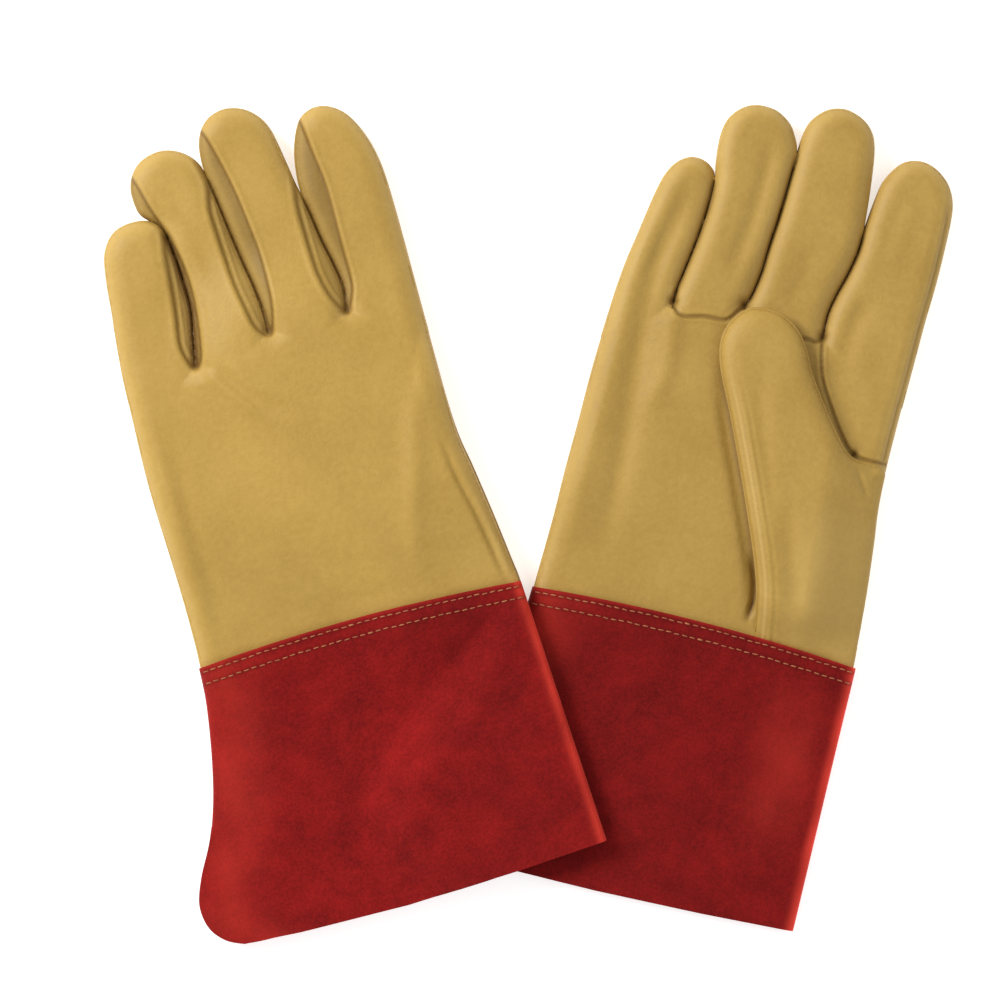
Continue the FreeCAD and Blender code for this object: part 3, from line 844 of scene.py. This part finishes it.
def band_of(plan, fields, x, y, z):
    """Where a point is between the hand's faces: above BAND on the upper face, below -BAND under it."""
    low, high = plan.at(fields["low"], x, y), plan.at(fields["high"], x, y)
    return (z - (low + high) / 2) / (high - low)


def tidy_cuts(glove, plan, fields, points, fold_of):
    """Moves points onto the lines that the leathers are cut along, so that the cuts are straight."""
    x, y, z = points.T
    low, high = plan.at(fields["low"], x, y), plan.at(fields["high"], x, y)
    at_side = plan.at(fields["body"], x, y) < 3
    for share in (-BAND, BAND):
        level = (low + high) / 2 + share * (high - low)
        near = at_side & (np.abs(z - level) < 0.5 * STEP)
        points[near, 2] = level[near]
    for name in fold_of:
        finger = glove.fingers[name]
        inside = plan.at(fields["fingers"][name], x, y)
        past = past_root(finger, points[:, 0], points[:, 1])
        near = (inside > -2) & (np.abs(past) < 0.5 * STEP)
        points[near, :2] -= past[near, None] * finger["along"]
    return points


def in_leaf(side, x, y):
    """Whether points are inside one of the back's leaf-shaped openings."""
    leaves = [inside_distance(curve(leaf, closed=True, steps=3), x, y) for leaf in LEAVES[side]]
    return np.max(leaves, axis=0) > 0


def face_names(glove, plan, fields, centre, finger=None):
    """Name of the leather that each face of a skin belongs to; None for what isn't kept."""
    x, y, z = centre.T
    place = band_of(plan, fields, x, y, z)
    palm = (place > 0) == glove.palm_up
    names = np.where(palm, "palm_panel", "back_panel").astype(object)
    if finger is None:
        names[palm & (y > ROOT_SEAM[0][0]) & (x > np.interp(y, *ROOT_SEAM))] = "index_front_root"
        inside = np.array([plan.at(fields["fingers"][name], x, y) for name in FINGER_NAMES])
        past = np.array([past_root(glove.fingers[name], x, y) for name in FINGER_NAMES])
        owner = inside.argmax(axis=0)
        beyond = past[owner, np.arange(len(x))] > 0
        names[(inside.max(axis=0) > -1.5) & beyond] = None
        names[y < HAND_UNDER_CUFF] = None
        return names
    outline = finger_outline(glove.side, finger)
    middle = (outline[:, 0].min() + outline[:, 0].max()) / 2
    thumb_side = x > middle + (y - 150) * glove.fingers[finger]["along"][0]
    inside = plan.at(fields["fingers"][finger], x, y)
    strip = (np.abs(place) < BAND) & (inside < 4)
    leaf = np.zeros(len(x), bool)
    leaf[~palm] = in_leaf(glove.side, x[~palm], y[~palm])
    strip |= leaf
    if finger == "little":
        strip &= thumb_side
        facing = f"{finger}_fourchette"
    elif finger == "index":
        strip &= ~thumb_side
        facing = f"{finger}_fourchette"
    else:
        facing = np.where(thumb_side, f"{finger}_fourchette_radial", f"{finger}_fourchette_ulnar")
    front = palm & ((place > BAND) | (place < -BAND) | (finger not in ("little", "index")))
    names = np.where(front, f"{finger}_front", f"{finger}_back").astype(object)
    names = np.where(strip, facing, names)
    names[past_root(glove.fingers[finger], x, y) < 0] = None
    return names


def make_leathers(glove, plan, fields, inside, cut, part, finger=None):
    """Cuts one skin into its leathers, as pieces."""
    side = glove.side
    points, quads = skin(part, inside, ROLL[side], fields["low"][cut], fields["high"][cut],
                         fields["upper"]["height"][cut], fields["under"]["height"][cut])
    points = relaxed(points, quads, 1, 0.35)
    points = tidy_cuts(glove, plan, fields, points, FINGER_NAMES if finger is None else (finger,))
    points[:, 2] = np.maximum(points[:, 2], LOWEST)
    names = face_names(glove, plan, fields, points[quads].mean(axis=1), finger)
    x, y, z = points.T
    place = band_of(plan, fields, x, y, z)
    marks = {}
    # painted shade from the upper or under face's fields: seams, slots, pits and side strips
    for key in ("dark", "strip"):
        upper, under = (plan.at(fields[face][key], x, y) for face in ("upper", "under"))
        marks[key] = np.where(place > 0, upper, under) * smooth(np.abs(place) * 6 + (key == "dark"))
    body = np.max([plan.at(field, x, y) for field in (fields["body"], *fields["fingers"].values())], axis=0)
    # painted highlight: a paler band about 2.4 mm in from the outline, where the rolled edges catch the light
    painted_highlight = 0.25 * bell(body - 2.4, 2.2) * (1 - marks["dark"])
    attributes = {"seam": marks["dark"], "strip": marks["strip"], "painted_highlight": painted_highlight}
    for name in sorted({n for n in names if n}):
        facing_palm = "palm" in name or "front" in name
        piece = new_piece(f"{side}_{name}_leather", glove, points, quads[names == name],
                          LEATHER_PALM if facing_palm else LEATHER, attributes)
        thicken(piece, GRAIN)
        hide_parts(f"{side}_{name}")
        if finger is None:
            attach(piece, glove.hand)
            continue
        root = glove.fingers[finger]
        start = Vector(root["joint"]["pos_m"])
        end = glove.world_point(root["root"] + FINGER_BEND * root["along"], start.z)
        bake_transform(piece)


def build_hand(glove):
    """All the leathers of a hand but the thumb's."""
    plan, fields = hand_fields(glove)
    whole = np.max([fields["body"], *fields["fingers"].values()], axis=0)
    part, cut = plan.window(PLAN_LOW, (PLAN_HIGH[0], KNUCKLES_HIGH))
    make_leathers(glove, plan, fields, whole[cut], cut, part)
    for name in FINGER_NAMES:
        outline = finger_outline(glove.side, name)
        low, high = outline.min(axis=0) - 4, outline.max(axis=0) + 4
        part, cut = plan.window((low[0] - 6, 100), (high[0] + 6, high[1]))
        inside = np.maximum(fields["body"], fields["fingers"][name])[cut]
        make_leathers(glove, plan, fields, inside, cut, part, name)


# ---- thumb

def thumb_skin(glove):
    """The thumb leather's skin, lying on the palm and running down over the hand's edge."""
    side = glove.side
    plan = Plan((-24, -8), (76, 140))
    x, y = plan.x, plan.y
    inside = thumb_inside(x, y, thumb_edge(side))
    low = lying_level(side, x, y)
    thick = WRIST_THICK + (HAND_THICK - WRIST_THICK) * smooth((y + 4) / 62)
    thumb_thick = THUMB_THICK[side] * (1 - 0.12 * smooth(y / 130))
    off_edge = line_distance(thumb_edge(side), x, y)[0]
    free = smooth(off_edge / HEEL_REACH) * smooth((y - 2) / 24 + 0.25)
    folds = folded(THUMB_FOLDS, x, y)
    if glove.palm_up:
        rest = low + thick * 0.5 + (thick * 0.5 + 0.3) * free
        top = np.maximum(low + thick + 0.7, rest + 0.5) + (thumb_thick - 0.4) * free
        return plan, inside, rest, top, folds
    top = low + thick * 0.5 - (thick * 0.5 + 0.3) * free
    rest = np.full_like(x, TABLE_GAP)
    return plan, inside, rest, np.maximum(top, rest + 2.5), -folds


def build_thumb(glove):
    """The thumb's outer and inner leathers and the welt in the seam between them."""
    side = glove.side
    plan, inside, low, high, folds = thumb_skin(glove)
    x, y = plan.x, plan.y
    welt_line = curve(THUMB_OUTLINE)
    gap, along = line_distance(welt_line, x, y)
    lines = np.zeros_like(x)
    dark = np.zeros_like(x)
    # seam lines along the thumb's free side, with painted shade in their grooves
    for inset, depth in ((1.9, 0.62), (3.9, 0.42), (6.6, 0.28)):
        here = depth * smooth((0.50 - along) / 0.12) * smooth((0.40 + 0.9 * depth - along) / 0.2)
        lines += here * seam_relief(gap - inset)
        dark = np.maximum(dark, here * 0.4 * bell(gap - inset, 0.6))
    outer_up = glove.palm_up
    upper = folds + lines if outer_up else folds
    under = np.zeros_like(x)
    points, quads = skin(plan, inside, THUMB_ROLL, low, high, upper, under)
    points = relaxed(points, quads, 1, 0.35)
    px, py, pz = points.T
    middle = plan.at((low + high) / 2, px, py)
    seam = np.where(pz > middle, plan.at(dark, px, py), 0.0) if outer_up else np.zeros(len(px))
    free_side = plan.at(smooth((0.56 - along) / 0.2), px, py)
    # painted highlight along the thumb's free rim, where it catches the light
    painted_highlight = 0.5 * bell(plan.at(gap, px, py) - 2.6, 1.6) * (1 - seam) * free_side
    # painted highlight on the right part of the thumb's heel, where it lies flatter and shows lighter
    painted_highlight = np.maximum(painted_highlight, 0.18 * smooth((px - 26) / 14) * smooth((70 - py) / 20))
    centre = points[quads].mean(axis=1)
    cx, cy, cz = centre.T
    above = cz > plan.at((low + high) / 2, cx, cy)
    across = np.array([-glove.crease_along[1], glove.crease_along[0]])
    past = (cx - glove.crease[0]) * across[0] + (cy - glove.crease[1]) * across[1]
    outer = above == outer_up
    keep = outer | (past > -4)
    keep &= cy > HAND_UNDER_CUFF
    start = glove.crease
    end = glove.crease + CREASE_BEND * across
    for name, mask, nodes in (("thumb_outer", outer, ("thumb_outer", "thumb_heel")),
                              ("thumb_inner", ~outer & keep, ("thumb_inner",))):
        piece = new_piece(f"{side}_{name}_leather", glove, points, quads[mask], LEATHER_THUMB,
                          {"seam": seam, "painted_highlight": painted_highlight})
        thicken(piece, GRAIN)
        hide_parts(*(f"{side}_{n}" for n in nodes))
        bend_thumb(glove, piece, start, end)
    build_welt(glove, plan, low, high, welt_line, start, end)


def bend_thumb(glove, piece, start, end):
    """Bakes a thumb piece's place into its mesh; the crease's ends are worked out as points but not used."""
    z = JOINTS[f"{glove.side}_thumb_swing"]["pos_m"][2]
    glove.world_point(start, z)
    glove.world_point(end, z)
    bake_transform(piece)


def build_welt(glove, plan, low, high, line, start, end):
    """A narrow leather strip set in the thumb's seam, standing out of it."""
    keep = line[line[:, 1] > 2]
    step = np.gradient(keep, axis=0)
    step /= np.linalg.norm(step, axis=1)[:, None]
    out = np.column_stack([-step[:, 1], step[:, 0]])
    middle = plan.at((low + high) / 2, keep[:, 0], keep[:, 1])
    profile = [(-0.8, -0.5), (0.5, -0.45), (0.9, 0.0), (0.5, 0.45), (-0.8, 0.5)]
    rings = []
    for (px, py), (ox, oy), z in zip(keep, out, middle):
        rings.append([(px + ox * d, py + oy * d, z + h) for d, h in profile])
    points = np.array(rings).reshape(-1, 3)
    faces = tube_faces(len(keep), len(profile))[:, ::-1]
    piece = new_piece(f"{glove.side}_thumb_welt_leather", glove, points, faces, LEATHER,
                      {"seam": np.full(len(points), 0.15), "painted_highlight": np.zeros(len(points))})
    soften = piece.modifiers.new("round", "SUBSURF")
    soften.levels = soften.render_levels = 1
    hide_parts(f"{glove.side}_thumb_welt")
    bend_thumb(glove, piece, start, end)


# ---- cuff

def cuff_heights(glove, x, y):
    """Outer faces of the lying cuff, upper and lower."""
    depth = np.maximum(-y, 0)
    little, thumb = cuff_sides(glove.side, depth)
    from_thumb = np.maximum(thumb - x, 0)
    from_little = np.maximum(x - little, 0)
    wrist = WRIST_THICK / 2 + SPLIT + 0.2
    narrow = smooth(depth / 40)
    gap = wrist + (CUFF_GAP - wrist) * narrow
    middle = lying_level(glove.side, x, y) + gap
    open_side = smooth((depth - VENT + 4) / 8)
    fold_round = np.sqrt(1 - np.clip(1 - from_thumb / 5.5, 0, 1) ** 2)
    seam_round = np.sqrt(1 - np.clip(1 - from_little / 6.5, 0, 1) ** 2)
    pressed = 1 - 0.45 * narrow * (1 - smooth(from_little / 30))
    gap = gap * fold_round * pressed * (seam_round * (1 - open_side) + open_side)
    gap = np.maximum(gap, (SPLIT + 0.15) * open_side * fold_round)
    seed = 40 + glove.palm_up
    waves = ripple(x, y, seed, 75, 0.6) + ripple(x, y, seed + 5, 30, 0.2)
    waves = waves * smooth((depth - 2) / 26) * np.minimum(1, from_thumb / 6)
    lobe = 1.6 * smooth((18 - from_little) / 18) * smooth((depth - 80) / 25)
    return middle + gap + waves + lobe, middle - gap


def cuff_lay(glove, share, depth):
    """Plan place of the cuff's leather: share is 0 on the little-finger side and 1 on the thumb side."""
    side = glove.side
    little, thumb = cuff_sides(side, depth)
    x = little + (thumb - little) * share
    mouth = np.interp(share, CUFF_MOUTH_SHARES, CUFF_MOUTH_LENGTHS[side])
    run = depth / CUFF_LEN
    return x, CUFF_BOW * (1 - (2 * share - 1) ** 2) * (1 - smooth(depth / 60)) - mouth * run


def cuff_grid(glove):
    """The cuff as one leather: up from the side seam, over the underside, round the fold and back."""
    flat = np.linspace(0, 1, 150)
    share = 0.75 * flat + 0.25 * (0.5 - 0.5 * np.cos(np.pi * flat))
    columns = np.concatenate([share, share[-2::-1]])
    under = np.arange(len(columns)) < len(share)
    columns, depth = np.meshgrid(columns, np.linspace(0, CUFF_LEN, 128))
    x, y = cuff_lay(glove, columns, depth)
    top, bottom = cuff_heights(glove, x, -depth)
    z = np.where(under[None, :], bottom, top)
    cells = np.arange(x.size).reshape(x.shape)
    faces = np.stack([cells[:-1, :-1], cells[:-1, 1:], cells[1:, 1:], cells[1:, :-1]], axis=-1).reshape(-1, 4)
    return np.column_stack([x.ravel(), y.ravel(), z.ravel()]), faces, x.shape, depth.ravel()


def build_cuff(glove):
    """The cuff, its leather's thickness, and its two rows of stitches on both faces."""
    side = glove.side
    points, faces, shape, depth = cuff_grid(glove)
    x, y, _ = points.T
    last = shape[1] - 1
    index = np.arange(len(points))
    for row in range(shape[0]):
        if depth[row * shape[1]] < VENT:
            index[row * shape[1] + last] = row * shape[1]
    faces = index[faces]
    little, thumb = cuff_sides(side, depth)
    edge_gap = thumb - x
    # painted highlight on the right cuff: a paler band about 20 mm in from the thumb-side fold, where the
    # rolled fold catches the light
    rolled_fold_highlight = {"left": 0.0, "right": 0.20}[side]
    # painted highlight along the thumb-side fold's edge
    painted_highlight = bell(np.maximum(edge_gap - 0.8, 0), 2.4)
    # painted highlight along the rounded little-finger side
    painted_highlight = np.maximum(painted_highlight, 0.22 * bell(x - little - 10, 13))
    painted_highlight = np.maximum(painted_highlight, rolled_fold_highlight * bell(edge_gap - 20, 12) * smooth((depth - 4) / 30)
                      * smooth((96 - depth) / 40))
    # painted highlight along the cuff's top edge
    painted_highlight = np.maximum(painted_highlight, 0.24 * bell(depth, 0.9))
    painted_highlight = painted_highlight * (0.8 + 0.2 * ripple(x, y, 61, 22, 1.0))
    # darker in a broad band in from the thumb-side fold on the left cuff, and along the stitch rows
    seam = (0.12 if side == "left" else 0.0) * bell(edge_gap - 26, 18)
    for at in STITCH_ROWS.values():
        seam = np.maximum(seam, 0.45 * bell(depth - at, 0.8))
    piece = new_piece(f"{side}_cuff_leather", glove, points, faces, SUEDE[side],
                      {"seam": seam, "painted_highlight": np.clip(painted_highlight, 0, 1)})
    thicken(piece, SPLIT)
    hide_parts(f"{side}_cuff", f"{side}_cuff_band")
    hinge = Vector(JOINTS[f"{side}_cuff_fold"]["pos_m"])
    end = glove.world_point((0, -CUFF_BAND - CUFF_FOLD_BEND), hinge.z)
    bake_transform(piece)
    build_stitches(glove)


def stitch_shape():
    """One stitch along X: a short thread that dips into the leather at both ends."""
    rings = []
    for t in np.linspace(-1, 1, 7):
        radius = THREAD_RADIUS * (0.4 + 0.6 * math.sqrt(1 - abs(t) ** 3))
        lift = 0.12 - 0.34 * t * t
        rings.append([(t * STITCH_LEN / 2, radius * math.cos(a), lift + radius * math.sin(a))
                      for a in np.linspace(0, math.tau, 7)[:-1]])
    points = np.array(rings)
    return points.reshape(-1, 3), tube_faces(*points.shape[:2])


def build_stitches(glove):
    """Two rows of stitches across both faces of the cuff's band, with a knot where each began."""
    shape, shape_faces = stitch_shape()
    for row, depth in STITCH_ROWS.items():
        rng = np.random.default_rng(11 if row == "upper" else 12)
        knot = 0.47 if row == "upper" else 0.53
        points, faces = [], []
        for upper in (True, False):
            for share in np.arange(0.02, 0.985, STITCH_STEP / (2 * CUFF_HALF)):
                at = depth + rng.uniform(-0.15, 0.15)
                x, y = cuff_lay(glove, share, at)
                grow = 1.5 if abs(share - knot) < 0.013 else 1.0
                px = x + shape[:, 0] + rng.uniform(-0.15, 0.15)
                py = y + grow * shape[:, 1] + shape[:, 0] * rng.uniform(-0.07, 0.07)
                top, bottom = cuff_heights(glove, px, np.full_like(px, -at))
                pz = top + grow * shape[:, 2] if upper else np.maximum(bottom - shape[:, 2], LOWEST)
                offset = len(points) * len(shape)
                points.append(np.column_stack([px, py, pz]))
                faces.append((shape_faces if upper else shape_faces[:, ::-1]) + offset)
        piece = new_piece(f"{glove.side}_cuff_stitching_{row}", glove, np.vstack(points),
                          np.vstack(faces), THREAD)
        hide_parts(f"{glove.side}_cuff_stitches_{row}")
        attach(piece, glove.hand)


# ---- the pair, the floor, the light and the camera

for glove in GLOVES.values():
    build_hand(glove)
    build_thumb(glove)
    build_cuff(glove)


FLOOR_REACH = 6.0
WORLD_STRENGTH = 0.52
LAMPS = [("key", (-1.7, 1.06, 1.63), 1.0, 60.0), ("fill", (0.9, -0.4, 1.6), 1.4, 5.0)]  # place, size, power
CAMERA_HEIGHT = 2.2
VIEW_WIDTH = 0.4104
AIM_SHIFT = (-0.0107, 0.0100, 0)


def build_floor():
    """A pale floor that glows a little, so that it shows white."""
    mesh = bpy.data.meshes.new("floor")
    corners = [(x * FLOOR_REACH, y * FLOOR_REACH, 0) for x, y in ((-1, -1), (1, -1), (1, 1), (-1, 1))]
    mesh.from_pydata(corners, [], [(0, 1, 2, 3)])
    floor = bpy.data.objects.new("floor", mesh)
    bpy.context.scene.collection.objects.link(floor)
    material, _, shader = new_material("pale_floor")
    set_sockets(shader, {"Base Color": (0.92, 0.92, 0.92, 1), "Roughness": 0.9,
                         "Emission Color": (1, 1, 1, 1), "Emission Strength": 0.55})
    mesh.materials.append(material)


def build_light():
    """An even white surround, a key lamp from the upper left and a weak fill from the right."""
    world = bpy.data.worlds.new("studio")
    bpy.context.scene.world = world
    world.use_nodes = True
    world.node_tree.nodes["Background"].inputs["Color"].default_value = (1, 1, 1, 1)
    world.node_tree.nodes["Background"].inputs["Strength"].default_value = WORLD_STRENGTH
    for name, place, size, power in LAMPS:
        lamp = bpy.data.lights.new(name, "AREA")
        lamp.size = size
        lamp.energy = power
        made = bpy.data.objects.new(name, lamp)
        made.location = place
        made.rotation_euler = (-Vector(place)).to_track_quat("-Z", "Y").to_euler()
        bpy.context.scene.collection.objects.link(made)


def build_camera():
    """Straight above the pair, far enough off to show it flat."""
    low, high = CAD_BOX
    aim = (low + high) / 2 + Vector(AIM_SHIFT)
    camera = bpy.data.cameras.new("camera")
    camera.lens = camera.sensor_width * CAMERA_HEIGHT / VIEW_WIDTH
    camera.clip_end = 50
    made = bpy.data.objects.new("camera", camera)
    made.location = (aim.x, aim.y, CAMERA_HEIGHT)
    bpy.context.scene.collection.objects.link(made)
    bpy.context.scene.camera = made


build_floor()
build_light()
build_camera()
bpy.context.scene.view_settings.view_transform = "Standard"
